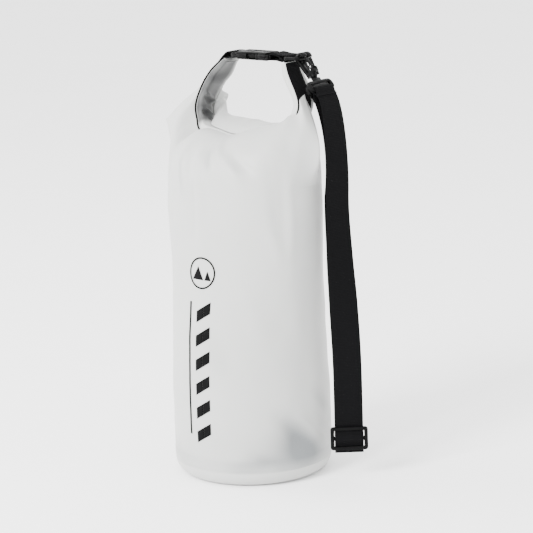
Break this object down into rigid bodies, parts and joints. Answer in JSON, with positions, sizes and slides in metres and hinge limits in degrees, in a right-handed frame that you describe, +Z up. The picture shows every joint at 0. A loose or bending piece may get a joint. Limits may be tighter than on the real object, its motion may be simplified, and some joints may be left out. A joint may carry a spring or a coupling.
{
  "type": "dry bag",
  "caption": "Roll-top waterproof bag: a welded fabric tube whose rolled mouth buckles into a carrying loop, with a detachable webbing shoulder strap",
  "frame": {"origin": "centre of the round base, on the ground", "axes": "+Z up the bag, +X along the mouth towards the strap's side, -Y out of the printed front"},
  "size_m": [0.3051, 0.2156, 0.569],
  "materials": {
    "coated_fabric": "translucent frosted white coated fabric",
    "weld_tape": "welded double layer of coated fabric",
    "print_black": "screen print",
    "stiffener_black": "flexible strip",
    "webbing_black": "woven polypropylene webbing",
    "plastic_black": "moulded acetal, fine satin",
    "pin_steel": "steel pin"
  },
  "bodies": {
    "bag": {"base_disc": "coated_fabric", "base_weld_band": "weld_tape", "fabric_tube": "coated_fabric", "back_seam_tape": "weld_tape", "front_graphic": "print_black", "mouth_roll": "coated_fabric", "mouth_roll_right": "coated_fabric", "mouth_stiffener": "stiffener_black", "mouth_stiffener_right": "stiffener_black", "handle_webbing": "webbing_black", "handle_webbing_right": "webbing_black", "left_tab": "webbing_black", "buckle_female": "plastic_black"},
    "male_half": {"buckle_male": "plastic_black", "right_tab": "webbing_black", "d_ring_tab": "webbing_black"},
    "prong_front": {"latch_prong_front": "plastic_black"},
    "prong_rear": {"latch_prong_rear": "plastic_black"},
    "d_ring_body": {"d_ring": "plastic_black"},
    "hook_front_body": {"hook_front": "plastic_black", "hook_front_pin": "pin_steel"},
    "gate_front": {"hook_front_gate": "plastic_black"},
    "swivel_front": {"ring_front": "plastic_black"},
    "hook_rear_body": {"hook_rear": "plastic_black", "hook_rear_pin": "pin_steel"},
    "gate_rear": {"hook_rear_gate": "plastic_black"},
    "swivel_rear": {"ring_rear": "plastic_black", "strap_rear_loop": "webbing_black"},
    "strap": {"strap_front_loop": "webbing_black", "strap_front_ply": "webbing_black", "strap_rear_ply": "webbing_black", "strap_fold": "webbing_black"},
    "glide": {"tri_glide": "plastic_black", "tri_glide_bridge": "webbing_black"}
  },
  "joints": [
    {"name": "buckle_release", "type": "slide", "parent": "bag", "child": "male_half", "axis": [1, 0, 0], "range_m": [0, 0.03], "deforming": ["mouth_roll_right", "mouth_stiffener_right", "handle_webbing_right"]},
    {"name": "latch_front", "type": "hinge", "parent": "male_half", "child": "prong_front", "pos_m": [0.0184, 0.0235, 0.561], "axis": [0, 0, -1], "range_deg": [0, 6], "stiffness_Nm_per_rad": 0.05},
    {"name": "latch_rear", "type": "hinge", "parent": "male_half", "child": "prong_rear", "pos_m": [0.0184, 0.0445, 0.561], "axis": [0, 0, 1], "range_deg": [0, 6], "stiffness_Nm_per_rad": 0.05},
    {"name": "d_ring_tip", "type": "hinge", "parent": "male_half", "child": "d_ring_body", "pos_m": [0.06, 0.034, 0.561], "axis": [0, -1, 0], "range_deg": [0, 30]},
    {"name": "hook_front_tip", "type": "hinge", "parent": "d_ring_body", "child": "hook_front_body", "pos_m": [0.081, 0.0297, 0.561], "axis": [0, -1, 0], "range_deg": [0, 35]},
    {"name": "gate_front_press", "type": "hinge", "parent": "hook_front_body", "child": "gate_front", "pos_m": [0.09758, 0.0297, 0.55171], "axis": [0, 1, 0], "range_deg": [-24, 0], "stiffness_Nm_per_rad": 0.05},
    {"name": "ring_front_swivel", "type": "hinge", "parent": "hook_front_body", "child": "swivel_front", "pos_m": [0.10241, 0.0297, 0.53722], "axis": [0.6691, 0, -0.7431], "range_deg": [-4, 4]},
    {"name": "strap_swing", "type": "hinge", "parent": "swivel_front", "child": "strap", "pos_m": [0.11466, 0.0297, 0.52362], "axis": [0, -1, 0], "range_deg": [0, 25]},
    {"name": "tri_glide_slide", "type": "slide", "parent": "strap", "child": "glide", "axis": [0, 0, 1], "range_m": [0, 0.06]},
    {"name": "hook_rear_tip", "type": "hinge", "parent": "d_ring_body", "child": "hook_rear_body", "pos_m": [0.081, 0.0383, 0.561], "axis": [0, -1, 0], "range_deg": [-2, 0]},
    {"name": "gate_rear_press", "type": "hinge", "parent": "hook_rear_body", "child": "gate_rear", "pos_m": [0.09461, 0.0383, 0.54773], "axis": [0, 1, 0], "range_deg": [-24, 0], "stiffness_Nm_per_rad": 0.05},
    {"name": "ring_rear_swivel", "type": "hinge", "parent": "hook_rear_body", "child": "swivel_rear", "pos_m": [0.09553, 0.0383, 0.53249], "axis": [0.454, 0, -0.891], "range_deg": [-3, 3]}
  ],
  "couplings": [
    {"joint": "latch_rear", "follows": "latch_front", "ratio": 1}
  ]
}
